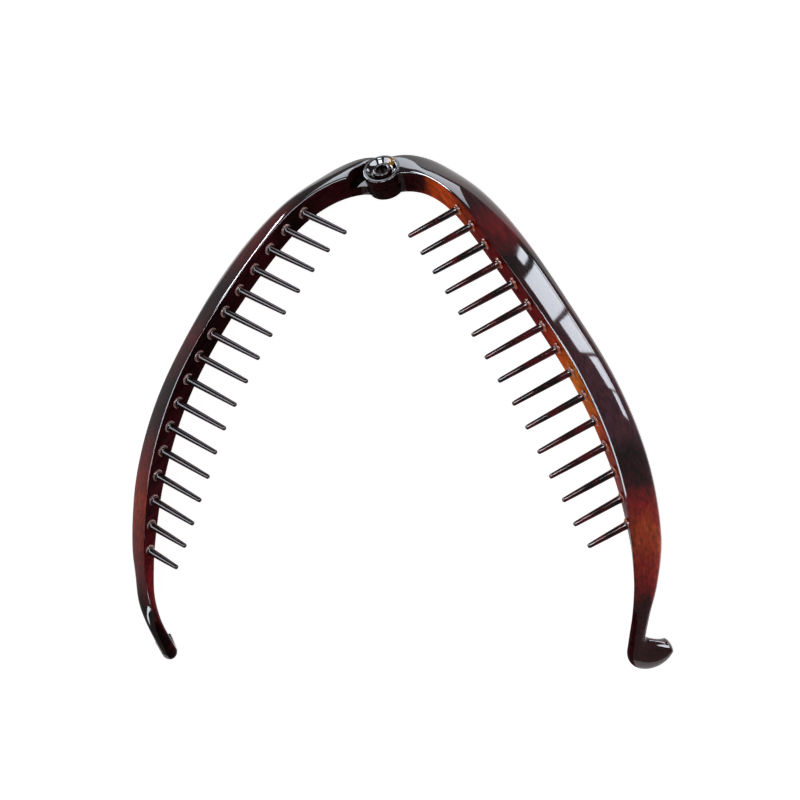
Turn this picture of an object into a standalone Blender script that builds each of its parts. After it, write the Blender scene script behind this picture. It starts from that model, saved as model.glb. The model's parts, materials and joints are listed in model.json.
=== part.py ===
"""Banana hair clip, lying open on its hinge and its two hooks.

Two moulded arms swing on a hollow pin. Each arm is arched like a banana, thick at its inner wall and thin at its
outer edge, carries a comb of tapered teeth, and ends in a neck with a foot-shaped hook. The left arm holds the rear
half of the hinge and the right arm the front half.

Each arm is modelled in its closed pose, in a frame of its own: the hinge axis is +Z through the origin, x is the
distance from the middle plane between the arms, and the arm runs towards -Y while it drops towards -Z.
Lengths in the tables are millimetres. The objects themselves are in metres.
"""
import math
from collections import namedtuple

import bmesh
import bpy
import numpy as np
from mathutils import Matrix, Vector

MM = 0.001

# The pose: how far each arm is swung out from the closed clip.
HALF_OPENING_DEG = 30.55

# The arm's sections from the hinge to the neck, in the closed pose.
# out, along and down place the middle of a section, width runs from the inner wall to the outer edge, depth is the
# height of the inner wall, fall is how much lower the outer edge lies than the crease, edge is the outer edge's
# thickness, hollow is how deep the back is dished, and roundness turns the section into an ellipse.
ARM_COLUMNS = ("out", "along", "down", "width", "depth", "fall", "edge", "hollow", "roundness")
ARM_SECTIONS = (
    (0.0, 0.2, 3.00, 9.0, 5.4, 0.3, 5.0, 0.0, 0.0),
    (5.0, 1.3, 3.10, 9.2, 6.0, 1.2, 4.4, 0.0, 0.0),
    (8.9, 4.8, 2.70, 9.3, 6.0, 2.8, 2.8, 0.3, 0.0),
    (11.8, 10.2, 1.90, 9.2, 5.9, 4.6, 1.4, 0.9, 0.0),
    (14.9, 20.4, 1.30, 9.8, 5.8, 5.8, 1.0, 1.3, 0.0),
    (17.1, 40.3, 4.20, 10.8, 5.8, 6.0, 1.0, 1.4, 0.0),
    (18.6, 58.5, 10.60, 10.3, 5.8, 6.2, 1.0, 1.4, 0.0),
    (19.8, 75.6, 19.90, 10.3, 5.8, 6.7, 1.0, 1.4, 0.0),
    (18.4, 91.6, 31.30, 9.7, 5.7, 7.0, 1.0, 1.3, 0.0),
    (16.3, 99.4, 37.60, 8.9, 5.4, 7.3, 1.1, 1.2, 0.0),
    (12.8, 107.4, 44.40, 7.7, 4.9, 7.8, 1.2, 0.9, 0.0),
    (10.2, 111.4, 48.40, 6.5, 4.4, 7.8, 1.3, 0.4, 0.05),
    (7.1, 115.4, 52.60, 5.2, 3.9, 6.2, 1.6, 0.1, 0.2),
    (3.8, 118.3, 58.10, 4.0, 3.8, 3.6, 2.4, 0.0, 0.6),
    (0.6, 120.3, 65.00, 3.9, 4.0, 1.2, 3.2, 0.0, 1.0),
)
STATIONS_PER_ROW = 4

# The inner wall leans outwards from back to front by this share of the width.
WALL_DRAFT = 0.13
# The front leans outwards from the crease in a slightly bowed plane and rolls down at the outer edge. FRONT_LEAN and
# FRONT_BOW are the shares of the fall that the plane and its bow take, and the roll takes the rest. The shares after
# them are places along the front, and along the dished back, where a section has a point.
FRONT_LEAN = 0.65
FRONT_BOW = 0.17
EDGE_ROLL_POWER = 12
FRONT_SHARES = (0.35, 0.7, 0.85, 0.94)
BACK_SHARES = (0.2, 0.45, 0.7, 0.88)
EDGE_SHARES = (0.15, 0.6)
CORNER = 0.35
SECTION_POINTS = 16
SECTION_START = math.radians(-135.0)

# The two necks pass each other in front and behind when the clip closes.
NECK_LAYER = 1.1
NECK_LAYER_FROM = 100.0
NECK_LAYER_TO = 118.0

# The hook is a foot at the neck's end. Its outer side is an arc, its inner side is a short ledge that starts at the
# neck. drop is how far the arc's middle lies past the neck's end, ledge and rise are the ledge's run away from the
# neck and back towards the hinge, and lean tips the foot to the front (+) or back (-).
Hook = namedtuple("Hook", "turn_deg lean_deg radius drop ledge rise")
RIGHT_HOOK = Hook(turn_deg=168.0, lean_deg=-52.0, radius=5.9, drop=4.4, ledge=5.6, rise=-2.2)
LEFT_HOOK = Hook(turn_deg=175.0, lean_deg=-85.0, radius=3.8, drop=0.8, ledge=4.0, rise=0.4)
HOOK_STEPS = 10
HOOK_DEPTH = 4.6
TIP_STEPS = 3
TIP_CLOSING = 0.4
TIP_BULGE = 0.9

# The comb. The left arm's first tooth stands at FIRST_TOOTH_ALONG, the right arm's half a pitch further on.
LEFT_TEETH = 16
RIGHT_TEETH = 15
FIRST_TOOTH_ALONG = 20.6
STRAIGHT_WALL_FROM = 5.0
TOOTH_PITCH = 6.62
TOOTH_DROOP_DEG = 3.7
TOOTH_LENGTH_COLUMNS = ("share", "length")
TOOTH_LENGTHS = (
    (0.0, 14.2),
    (0.25, 15.3),
    (0.5, 16.6),
    (0.75, 16.0),
    (0.9, 13.5),
    (1.0, 9.9),
)
# A tooth from its root to its tip. Each row is a share of the length, an offset added to that place, and a radius.
TOOTH_PROFILE = (
    (0.0, -1.5, 0.80),
    (0.0, 0.0, 1.15),
    (0.0, 0.9, 0.88),
    (1.0, -0.7, 0.58),
    (1.0, -0.15, 0.44),
    (1.0, 0.0, 0.16),
)
TOOTH_SIDES = 8

# The hinge. Z = 0 is the front face of the front knuckle.
KNUCKLE_RADIUS = 4.9
KNUCKLE_SIDES = 40
FRONT_KNUCKLE_BACK = -2.9
REAR_KNUCKLE_FRONT = -3.2
REAR_KNUCKLE_BACK = -6.8
LAP_RADIUS = 5.65
LAP_REACH = 12.0
# The left arm's front has a round bay beside the lap. Its middle is given from the pin, in the arm's frame.
BAY_CENTRE = (-1.4, -3.9)
BAY_RADIUS = 5.5
BAY_FLOOR = -3.25
PIN_HOLE_RADIUS = 2.0
FUNNEL_MOUTH_RADIUS = 3.9
FUNNEL_FLOOR_RADIUS = 2.75
FUNNEL_DEPTH = 1.1
BACK_POCKET_RADIUS = 3.45
BACK_POCKET_DEPTH = 1.1
CUT_MARGIN = 1.0

# The hollow pin.
PIN_SIDES = 32
PIN_SHANK_RADIUS = 1.7
PIN_LIP_RADIUS = 2.4
PIN_LIP_CREST_RADIUS = 1.95
PIN_LIP_FRONT = -0.1
PIN_LIP_BACK = -0.8
PIN_LIP_ROUND = 0.2
PIN_LIP_EASE = 0.08
PIN_BORE_RADIUS = 1.5
PIN_BORE_DEPTH = 2.0
PIN_HEAD_RADIUS = 3.1
PIN_HEAD_FRONT = -6.0
PIN_HEAD_BACK = -6.7

# The clip settles on its rear knuckle and on the stretch of each arm past HOOK_ZONE_FROM.
HOOK_ZONE_FROM = 60.0
SETTLING_STEPS = 12

SHARP_ANGLE_DEG = 40.0

TORTOISESHELL = (0.075, 0.012, 0.010)
PIN_COLOUR = (0.05, 0.015, 0.010)


def clear_scene():
    """Remove whatever the file holds."""
    for item in list(bpy.data.objects):
        bpy.data.objects.remove(item, do_unlink=True)


def gloss_plastic(name, colour):
    """A glossy moulded plastic."""
    material = bpy.data.materials.new(name)
    material.use_nodes = True
    shader = material.node_tree.nodes["Principled BSDF"]
    shader.inputs["Base Color"].default_value = (*colour, 1.0)
    shader.inputs["Roughness"].default_value = 0.12
    shader.inputs["Metallic"].default_value = 0.0
    return material


def column(rows, columns, name):
    """One named column of a table."""
    return [row[columns.index(name)] for row in rows]


def smooth_rows(rows, per_row):
    """A smooth curve through table rows: cubic pieces with the slopes of the neighbouring rows."""
    table = np.array(rows, dtype=float)
    steps = np.linalg.norm(np.diff(table[:, :ARM_COLUMNS.index("width")], axis=0), axis=1)
    place = np.concatenate([[0.0], np.cumsum(steps)])
    slope = np.gradient(table, place, axis=0)
    out = []
    for i in range(len(table) - 1):
        span = place[i + 1] - place[i]
        for u in np.arange(per_row) / per_row:
            a = 2 * u ** 3 - 3 * u ** 2 + 1
            b = u ** 3 - 2 * u ** 2 + u
            c = 3 * u ** 2 - 2 * u ** 3
            d = u ** 3 - u ** 2
            out.append(a * table[i] + b * span * slope[i] + c * table[i + 1] + d * span * slope[i + 1])
    out.append(table[-1])
    return np.array(out)


def eased(value, start, end):
    """0 before start, 1 after end, and a smooth rise between them."""
    share = min(max((value - start) / (end - start), 0.0), 1.0)
    return share * share * (3 - 2 * share)


def front_drop(share):
    """The share of the fall that is reached at a share of the way from the crease to the outer edge."""
    roll = 1 - FRONT_LEAN - FRONT_BOW
    return FRONT_LEAN * share + FRONT_BOW * share ** 2 + roll * share ** EDGE_ROLL_POWER


def arm_section(width, depth, fall, edge, hollow, roundness):
    """Sixteen points round one section, as (across, front) pairs: inner wall, front, outer edge, back."""
    inner = -width / 2
    outer = width / 2
    front = depth / 2
    back = -depth / 2
    crease = inner + WALL_DRAFT * width
    rim = front - fall
    heel = rim - edge
    points = [(inner + CORNER, back), (inner, back + CORNER), ((inner + crease) / 2, 0.0)]
    points += [(crease, front - CORNER), (crease + CORNER, front)]
    for share in FRONT_SHARES:
        across = crease + share * (outer - crease)
        points.append((across, front - fall * front_drop(share)))
    points += [(outer, rim - share * edge) for share in EDGE_SHARES]
    points.append((outer - CORNER, heel))
    for share in BACK_SHARES:
        across = outer - CORNER + share * (inner - outer + 2 * CORNER)
        level = heel + share * (back - heel)
        points.append((across, level + hollow * math.sin(math.pi * share)))
    oval = []
    for i in range(SECTION_POINTS):
        turn = SECTION_START - 2 * math.pi * i / SECTION_POINTS
        oval.append((outer * math.cos(turn), front * math.sin(turn)))
    return [
        ((1 - roundness) * p[0] + roundness * o[0], (1 - roundness) * p[1] + roundness * o[1])
        for p, o in zip(points, oval)
    ]


def arm_stations(side):
    """Places and section sizes along one arm, without its hook. side is -1 for the left arm and 1 for the right."""
    rows = smooth_rows(ARM_SECTIONS, STATIONS_PER_ROW)
    places = np.stack([rows[:, 0] * side, -rows[:, 1], -rows[:, 2]], axis=1)
    frames = frames_along(places, side)
    for place, frame, row in zip(places, frames, rows):
        shift = -side * NECK_LAYER * eased(row[1], NECK_LAYER_FROM, NECK_LAYER_TO)
        place += frame[2] * shift
    return places, frames_along(places, side), rows[:, ARM_COLUMNS.index("width"):]


def frames_along(places, side):
    """Tangent, outward and front directions at each place."""
    frames = []
    tangents = np.gradient(places, axis=0)
    for tangent in tangents:
        tangent = tangent / np.linalg.norm(tangent)
        front = np.array([0.0, 0.0, 1.0])
        front = front - tangent * (front @ tangent)
        front /= np.linalg.norm(front)
        outward = np.cross(front, tangent) * side
        frames.append((tangent, outward, front))
    return frames


def ring(place, frame, outline):
    """The points of one section in the arm's frame."""
    _, outward, front = frame
    return [place + outward * across + front * ahead for across, ahead in outline]


def hook_rings(place, frame, size, hook):
    """Rings of the hook: they fan out from the neck's end, between the ledge and the outer arc, to a blunt tip."""
    tangent, outward, front = frame
    lean = math.radians(hook.lean_deg)
    pull = outward * math.cos(lean) + front * math.sin(lean)
    normal = front * math.cos(lean) - outward * math.sin(lean)
    half = size / 2
    start = math.asin(hook.drop / hook.radius)
    rings = []
    for i in range(1, HOOK_STEPS + 1):
        share = i / HOOK_STEPS
        turn = -start + (math.radians(hook.turn_deg) + start) * share
        beside = hook.radius * (1 - math.cos(max(turn, 0.0))) - half
        outer = pull * beside + tangent * (hook.drop + hook.radius * math.sin(turn))
        inner = pull * (half + hook.ledge * share) - tangent * hook.rise * share
        depth = size + (HOOK_DEPTH - size) * share
        rings.append(hook_ring(place, inner, outer, normal, depth, lean))
    heading = np.cross(normal, inner - outer)
    heading *= math.copysign(1.0, heading @ (pull - tangent)) / np.linalg.norm(heading)
    middle = (inner + outer) / 2
    for i in range(1, TIP_STEPS + 1):
        angle = math.pi / 2 * i / (TIP_STEPS + TIP_CLOSING)
        shrink = math.cos(angle)
        shift = heading * TIP_BULGE * math.sin(angle)
        near = middle + (inner - middle) * shrink + shift
        far = middle + (outer - middle) * shrink + shift
        rings.append(hook_ring(place, near, far, normal, depth * shrink, lean))
    return rings


def hook_ring(place, inner, outer, normal, depth, lean):
    """One oval ring of the hook, with its points in the order of arm_section."""
    middle = place + (inner + outer) / 2
    across = (inner - outer) / 2
    points = []
    for i in range(SECTION_POINTS):
        turn = SECTION_START - 2 * math.pi * i / SECTION_POINTS - lean
        points.append(middle + across * math.cos(turn) + normal * (depth / 2) * math.sin(turn))
    return points


def loft(rings, name):
    """A closed solid through rings of equal length, in metres."""
    mesh = bpy.data.meshes.new(name)
    work = bmesh.new()
    loops = [[work.verts.new(Vector(point) * MM) for point in points] for points in rings]
    for before, after in zip(loops, loops[1:]):
        for i in range(len(before)):
            j = (i + 1) % len(before)
            work.faces.new((before[i], before[j], after[j], after[i]))
    work.faces.new(loops[0])
    work.faces.new(loops[-1])
    bmesh.ops.recalc_face_normals(work, faces=work.faces)
    work.to_mesh(mesh)
    work.free()
    return mesh


def arm_mesh(side, hook, name):
    """The arm from the hinge to the hook, without teeth and knuckle."""
    places, frames, sizes = arm_stations(side)
    rings = [ring(p, f, arm_section(*s)) for p, f, s in zip(places, frames, sizes)]
    rings += hook_rings(places[-1], frames[-1], sizes[-1][0], hook)
    return loft(rings, name)


def tooth_mesh(root, heading, length, name):
    """One tapered tooth with a flared root and a round tip."""
    rings = []
    cross = np.cross(heading, np.array([0.0, 1.0, 0.0]))
    cross /= np.linalg.norm(cross)
    upright = np.cross(cross, heading)
    for share, offset, radius in TOOTH_PROFILE:
        middle = root + heading * (share * length + offset)
        points = []
        for i in range(TOOTH_SIDES):
            turn = 2 * math.pi * (i + 0.5) / TOOTH_SIDES
            points.append(middle + (cross * math.cos(turn) + upright * math.sin(turn)) * radius)
        rings.append(points)
    return loft(rings, name)


def comb_roots(side, count):
    """Where each tooth leaves the inner wall, a pitch apart along the wall."""
    places, frames, sizes = arm_stations(side)
    inner = np.array([-size[0] / 2 * (1 - WALL_DRAFT) for size in sizes])
    wall = places + np.array([f[1] for f in frames]) * inner[:, None]
    run = np.concatenate([[0.0], np.cumsum(np.linalg.norm(np.diff(wall, axis=0), axis=1))])
    past_bend = wall[:, 1] < -STRAIGHT_WALL_FROM
    first = np.interp(FIRST_TOOTH_ALONG, -wall[past_bend, 1], run[past_bend])
    if side > 0:
        first += TOOTH_PITCH / 2
    stops = first + TOOTH_PITCH * np.arange(count)
    return [np.array([np.interp(stop, run, wall[:, axis]) for axis in range(3)]) for stop in stops]


def comb_mesh(side, count, name):
    """All the teeth of one arm in one mesh."""
    droop = math.radians(TOOTH_DROOP_DEG)
    heading = np.array([-side * math.cos(droop), 0.0, -math.sin(droop)])
    shares = column(TOOTH_LENGTHS, TOOTH_LENGTH_COLUMNS, "share")
    lengths = column(TOOTH_LENGTHS, TOOTH_LENGTH_COLUMNS, "length")
    half_step = 0.5 if side > 0 else 0.0
    work = bmesh.new()
    for i, root in enumerate(comb_roots(side, count)):
        length = float(np.interp((i + half_step) / (LEFT_TEETH - 1), shares, lengths))
        tooth = tooth_mesh(root, heading, length, name)
        work.from_mesh(tooth)
        bpy.data.meshes.remove(tooth)
    mesh = bpy.data.meshes.new(name)
    work.to_mesh(mesh)
    work.free()
    return mesh


def turned_mesh(profile, sides, name):
    """A solid turned about the hinge axis from (radius, height) pairs, top to bottom. The ends lie on the axis."""
    work = bmesh.new()
    top = work.verts.new((0.0, 0.0, profile[0][1] * MM))
    bottom = work.verts.new((0.0, 0.0, profile[-1][1] * MM))
    loops = []
    for radius, height in profile[1:-1]:
        loop = []
        for i in range(sides):
            turn = 2 * math.pi * i / sides
            loop.append(work.verts.new((radius * math.cos(turn) * MM, radius * math.sin(turn) * MM, height * MM)))
        loops.append(loop)
    for i in range(sides):
        j = (i + 1) % sides
        work.faces.new((top, loops[0][i], loops[0][j]))
        work.faces.new((bottom, loops[-1][j], loops[-1][i]))
        for before, after in zip(loops, loops[1:]):
            work.faces.new((before[j], before[i], after[i], after[j]))
    bmesh.ops.recalc_face_normals(work, faces=work.faces)
    mesh = bpy.data.meshes.new(name)
    work.to_mesh(mesh)
    work.free()
    return mesh


def cylinder_profile(radius, top, bottom):
    """Profile of a plain cylinder."""
    return ((0.0, top), (radius, top), (radius, bottom), (0.0, bottom))


def bay_mesh(name):
    """What the bay beside the lap takes out of the left arm's front."""
    mesh = turned_mesh(cylinder_profile(BAY_RADIUS, LAP_REACH, BAY_FLOOR), KNUCKLE_SIDES, name)
    mesh.transform(Matrix.Translation(Vector((*BAY_CENTRE, 0.0)) * MM))
    return mesh


def place_object(name, mesh, matrix):
    """Put a mesh in the scene."""
    item = bpy.data.objects.new(name, mesh)
    bpy.context.scene.collection.objects.link(item)
    item.matrix_world = matrix
    return item


def add_boolean(target, tool, operation):
    """Join or cut with a hidden guide object."""
    tool.hide_render = True
    tool.display_type = "WIRE"
    modifier = target.modifiers.new(tool.name, "BOOLEAN")
    modifier.operation = operation
    modifier.object = tool
    modifier.solver = "EXACT"


def finish(item, material):
    """Give a piece its material and smooth shading with sharp creases."""
    item.data.materials.append(material)
    item.data.shade_smooth()
    item.data.set_sharp_from_angle(angle=math.radians(SHARP_ANGLE_DEG))


def make_arm(side, count, hook, name, matrix, material):
    """One arm: the lofted body, its half of the hinge and its comb."""
    arm = place_object(name, arm_mesh(side, hook, name), matrix)
    if side > 0:
        knuckle = cylinder_profile(KNUCKLE_RADIUS, 0.0, FRONT_KNUCKLE_BACK - CUT_MARGIN)
        lap = cylinder_profile(LAP_RADIUS, FRONT_KNUCKLE_BACK, -LAP_REACH)
        hole = (
            (0.0, CUT_MARGIN),
            (FUNNEL_MOUTH_RADIUS + CUT_MARGIN, CUT_MARGIN),
            (FUNNEL_MOUTH_RADIUS, 0.0),
            (FUNNEL_FLOOR_RADIUS, -FUNNEL_DEPTH),
            (PIN_HOLE_RADIUS, -FUNNEL_DEPTH),
            (PIN_HOLE_RADIUS, -LAP_REACH),
            (0.0, -LAP_REACH),
        )
    else:
        knuckle = cylinder_profile(KNUCKLE_RADIUS, REAR_KNUCKLE_FRONT + CUT_MARGIN, REAR_KNUCKLE_BACK)
        lap = cylinder_profile(LAP_RADIUS, LAP_REACH, REAR_KNUCKLE_FRONT)
        pocket_floor = REAR_KNUCKLE_BACK + BACK_POCKET_DEPTH
        hole = (
            (0.0, LAP_REACH),
            (PIN_HOLE_RADIUS, LAP_REACH),
            (PIN_HOLE_RADIUS, pocket_floor),
            (BACK_POCKET_RADIUS, pocket_floor),
            (BACK_POCKET_RADIUS, -LAP_REACH),
            (0.0, -LAP_REACH),
        )
    guides = [
        ("knuckle", turned_mesh(knuckle, KNUCKLE_SIDES, name + "_knuckle"), "UNION"),
        ("lap", turned_mesh(lap, KNUCKLE_SIDES, name + "_lap"), "DIFFERENCE"),
        ("hole", turned_mesh(hole, PIN_SIDES, name + "_hole"), "DIFFERENCE"),
        ("comb", comb_mesh(side, count, name + "_comb"), "UNION"),
    ]
    if side < 0:
        guides.append(("bay", bay_mesh(name + "_bay"), "DIFFERENCE"))
    for label, mesh, operation in guides:
        guide = place_object(name + "_" + label, mesh, matrix)
        add_boolean(arm, guide, operation)
    finish(arm, material)
    return arm


def make_pin(matrix, material):
    """The hollow pin: rolled lip, bored shank and flat rear head."""
    profile = (
        (0.0, PIN_LIP_FRONT - PIN_BORE_DEPTH),
        (PIN_BORE_RADIUS, PIN_LIP_FRONT - PIN_BORE_DEPTH),
        (PIN_BORE_RADIUS, PIN_LIP_FRONT - PIN_LIP_ROUND),
        (PIN_BORE_RADIUS + PIN_LIP_ROUND, PIN_LIP_FRONT - PIN_LIP_EASE),
        (PIN_LIP_CREST_RADIUS, PIN_LIP_FRONT),
        (PIN_LIP_RADIUS - PIN_LIP_ROUND, PIN_LIP_FRONT - PIN_LIP_EASE),
        (PIN_LIP_RADIUS, PIN_LIP_FRONT - PIN_LIP_ROUND),
        (PIN_LIP_RADIUS, PIN_LIP_BACK),
        (PIN_SHANK_RADIUS, PIN_LIP_BACK),
        (PIN_SHANK_RADIUS, PIN_HEAD_FRONT),
        (PIN_HEAD_RADIUS, PIN_HEAD_FRONT),
        (PIN_HEAD_RADIUS, PIN_HEAD_BACK),
        (0.0, PIN_HEAD_BACK),
    )
    pin = place_object("hinge_pin", turned_mesh(profile, PIN_SIDES, "hinge_pin"), matrix)
    finish(pin, material)
    return pin


def arm_points(side, hook, swing):
    """The corners of one arm's mesh, swung out, in millimetres in the clip's frame."""
    mesh = arm_mesh(side, hook, "probe")
    turn = Matrix.Rotation(swing * side, 4, "Z")
    points = np.array([list((turn @ v.co) / MM) for v in mesh.vertices])
    bpy.data.meshes.remove(mesh)
    return points


def resting_pose(left, right):
    """The turn and lift that set the clip on its rear knuckle and both hooks."""
    rim = []
    for i in range(KNUCKLE_SIDES):
        turn = 2 * math.pi * i / KNUCKLE_SIDES
        rim.append((KNUCKLE_RADIUS * math.cos(turn), KNUCKLE_RADIUS * math.sin(turn), REAR_KNUCKLE_BACK))
    groups = [np.array(rim), left[left[:, 1] < -HOOK_ZONE_FROM], right[right[:, 1] < -HOOK_ZONE_FROM]]
    normal = np.array([0.0, 0.0, 1.0])
    for _ in range(SETTLING_STEPS):
        feet = [group[np.argmin(group @ normal)] for group in groups]
        normal = np.cross(feet[1] - feet[0], feet[2] - feet[0])
        normal *= math.copysign(1.0, normal[2]) / np.linalg.norm(normal)
    up = Vector(normal)
    turn = up.rotation_difference(Vector((0.0, 0.0, 1.0))).to_matrix().to_4x4()
    cloud = np.vstack([rim, left, right]) @ np.array(turn.to_3x3()).T
    low = cloud.min(axis=0)
    high = cloud.max(axis=0)
    middle = Vector((-(low[0] + high[0]) / 2, -(low[1] + high[1]) / 2, -low[2])) * MM
    return Matrix.Translation(middle) @ turn


def build_clip():
    """Both arms and the pin, lying open."""
    clear_scene()
    swing = math.radians(HALF_OPENING_DEG)
    left = arm_points(-1, LEFT_HOOK, swing)
    right = arm_points(1, RIGHT_HOOK, swing)
    pose = resting_pose(left, right)
    shell = gloss_plastic("tortoiseshell", TORTOISESHELL)
    dark = gloss_plastic("pin_plastic", PIN_COLOUR)
    left_pose = pose @ Matrix.Rotation(-swing, 4, "Z")
    right_pose = pose @ Matrix.Rotation(swing, 4, "Z")
    make_arm(-1, LEFT_TEETH, LEFT_HOOK, "left_arm", left_pose, shell)
    make_arm(1, RIGHT_TEETH, RIGHT_HOOK, "right_arm", right_pose, shell)
    make_pin(pose, dark)


build_clip()
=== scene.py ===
# %% [markdown]
# A banana hair clip in tortoiseshell plastic.
# The real clip is three mouldings: two arched arms with a comb of teeth on each, and a hollow pin that they swing
# on. It lies open on a table, so it stands on the back of its hinge and on the two hooks at its free ends.
# This lesson loads the plain model of the clip, rebuilds each piece with a fine surface in the same place, gives it
# a polished translucent finish, and lights it as if beside a window.

# %% Load the plain model
import json
import math
from collections import namedtuple

import bmesh
import bpy
import numpy as np
from mathutils import Matrix, Vector
from mathutils.bvhtree import BVHTree


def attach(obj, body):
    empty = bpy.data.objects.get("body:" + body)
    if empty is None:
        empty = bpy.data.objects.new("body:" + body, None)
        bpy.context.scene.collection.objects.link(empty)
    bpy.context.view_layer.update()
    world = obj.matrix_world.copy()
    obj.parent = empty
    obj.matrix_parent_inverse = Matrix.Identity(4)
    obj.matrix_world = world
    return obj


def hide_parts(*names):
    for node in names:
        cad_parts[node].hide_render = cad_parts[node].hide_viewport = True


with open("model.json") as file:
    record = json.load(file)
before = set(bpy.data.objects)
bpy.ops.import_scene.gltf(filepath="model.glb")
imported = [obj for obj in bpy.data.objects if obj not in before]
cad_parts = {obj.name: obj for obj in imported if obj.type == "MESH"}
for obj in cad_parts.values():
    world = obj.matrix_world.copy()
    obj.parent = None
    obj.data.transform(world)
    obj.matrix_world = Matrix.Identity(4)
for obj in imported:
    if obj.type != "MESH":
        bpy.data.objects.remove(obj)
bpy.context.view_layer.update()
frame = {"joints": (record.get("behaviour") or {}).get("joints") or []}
MM = 0.001

# %% [markdown]
# Both arms were designed closed, in one frame of their own. The hinge axis is Z, the arms run towards -Y and drop
# towards -Z, and x is the distance from the plane between them. The plain model's joint says where that frame lies
# now. Its axis gives the tilt and its position gives the shift, so nothing has to be measured twice. The clip lies
# open, so each arm has also swung out by half of the opening.

# %% Find the clip's own frame
HALF_OPENING = math.radians(30.55)

hinge = frame["joints"][0]
tilt = Vector((0.0, 0.0, 1.0)).rotation_difference(Vector(hinge["axis"])).to_matrix()
clip_place = Matrix.Translation(Vector(hinge["pos_m"])) @ tilt.to_4x4()
LEFT = -1
RIGHT = 1


def arm_place(side):
    """The frame of one arm: the clip's frame, swung out about the hinge."""
    return clip_place @ Matrix.Rotation(side * HALF_OPENING, 4, "Z")


print("the hinge axis leans back", round(math.degrees(math.acos(hinge["axis"][2])), 1), "degrees")

# %% [markdown]
# The camera comes before the looks, because every later choice is judged through it. It looks down on the clip from
# above its hooks. A long lens, about 80 mm, keeps the far hinge nearly as large as the near hooks. Its place is given
# in the clip's frame, as steps to the right, up and back from the hinge as the camera sees them.

# %% Set up the camera
RIGHT_IN_VIEW = Vector((0.9665, 0.1150, -0.2294))
UP_IN_VIEW = Vector((0.0452, 0.8037, 0.5933))
TOWARDS_VIEWER = Vector((0.2526, -0.5838, 0.7716))
CAMERA_RIGHT = 4.935 * MM
CAMERA_UP = -60.13 * MM
CAMERA_BACK = 472.3 * MM
LENS = 81.8


def add_camera():
    """A camera square to the three directions above."""
    data = bpy.data.cameras.new("camera")
    data.lens = LENS
    data.clip_start = 0.01
    camera = bpy.data.objects.new("camera", data)
    bpy.context.scene.collection.objects.link(camera)
    side = tilt @ RIGHT_IN_VIEW
    up = tilt @ UP_IN_VIEW
    back = tilt @ TOWARDS_VIEWER
    turn = Matrix((side, up, back)).transposed().to_4x4()
    spot = Vector(hinge["pos_m"]) + side * CAMERA_RIGHT + up * CAMERA_UP + back * CAMERA_BACK
    camera.matrix_world = Matrix.Translation(spot) @ turn
    bpy.context.scene.camera = camera
    return camera


camera = add_camera()
print("camera stands", round(camera.location.z * 100), "cm above the table")

# %% [markdown]
# An arm is one long moulding whose section changes all the way: blunt and square at the hinge, a tall inner wall
# with a face that falls away to a thin outer edge along the comb, and a round stem at the hook. It could be carved
# from a block or bent from a straight bar. A loft through named sections is closer to how such a mould is drawn, so
# the table below gives one section per row, in millimetres, and the rest is interpolated.

# %% The sections of an arm
ARM_COLUMNS = ("out", "along", "down", "width", "depth", "fall", "edge", "hollow", "roundness")
ARM_SECTIONS = (
    (0.0, 0.2, 3.00, 9.0, 5.4, 0.3, 5.0, 0.0, 0.0),
    (5.0, 1.3, 3.10, 9.2, 6.0, 1.2, 4.4, 0.0, 0.0),
    (8.9, 4.8, 2.70, 9.3, 6.0, 2.8, 2.8, 0.3, 0.0),
    (11.8, 10.2, 1.90, 9.2, 5.9, 4.6, 1.4, 0.9, 0.0),
    (14.9, 20.4, 1.30, 9.8, 5.8, 5.8, 1.0, 1.3, 0.0),
    (17.1, 40.3, 4.20, 10.8, 5.8, 6.0, 1.0, 1.4, 0.0),
    (18.6, 58.5, 10.60, 10.3, 5.8, 6.2, 1.0, 1.4, 0.0),
    (19.8, 75.6, 19.90, 10.3, 5.8, 6.7, 1.0, 1.4, 0.0),
    (18.4, 91.6, 31.30, 9.7, 5.7, 7.0, 1.0, 1.3, 0.0),
    (16.3, 99.4, 37.60, 8.9, 5.4, 7.3, 1.1, 1.2, 0.0),
    (12.8, 107.4, 44.40, 7.7, 4.9, 7.8, 1.2, 0.9, 0.0),
    (10.2, 111.4, 48.40, 6.5, 4.4, 7.8, 1.3, 0.4, 0.05),
    (7.1, 115.4, 52.60, 5.2, 3.9, 6.2, 1.6, 0.1, 0.2),
    (3.8, 118.3, 58.10, 4.0, 3.8, 3.6, 2.4, 0.0, 0.6),
    (0.6, 120.3, 65.00, 3.9, 4.0, 1.2, 3.2, 0.0, 1.0),
)
WIDTH_COLUMN = ARM_COLUMNS.index("width")
STATIONS_PER_ROW = 14
SMOOTHING_PASSES = 24


def smooth_rows(rows):
    """A curve through the rows with matching slopes, then averaged with its neighbours so that gloss runs evenly."""
    table = np.array(rows, dtype=float)
    steps = np.linalg.norm(np.diff(table[:, :WIDTH_COLUMN], axis=0), axis=1)
    place = np.concatenate([[0.0], np.cumsum(steps)])
    slope = np.gradient(table, place, axis=0)
    out = []
    for i in range(len(table) - 1):
        span = place[i + 1] - place[i]
        for u in np.arange(STATIONS_PER_ROW) / STATIONS_PER_ROW:
            a = 2 * u ** 3 - 3 * u ** 2 + 1
            b = (u ** 3 - 2 * u ** 2 + u) * span
            d = (u ** 3 - u ** 2) * span
            out.append(a * table[i] + b * slope[i] + (1 - a) * table[i + 1] + d * slope[i + 1])
    out.append(table[-1])
    dense = np.array(out)
    for _ in range(SMOOTHING_PASSES):
        dense[1:-1] = (dense[:-2] + 2 * dense[1:-1] + dense[2:]) / 4
    return dense


print("stations along an arm:", len(smooth_rows(ARM_SECTIONS)))

# %% [markdown]
# Each section needs a direction along the arm, one outwards and one to the front. Near the hooks the two stems are
# moved 1.1 mm apart, one forwards and one back, because they pass each other when the clip is closed.

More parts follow.
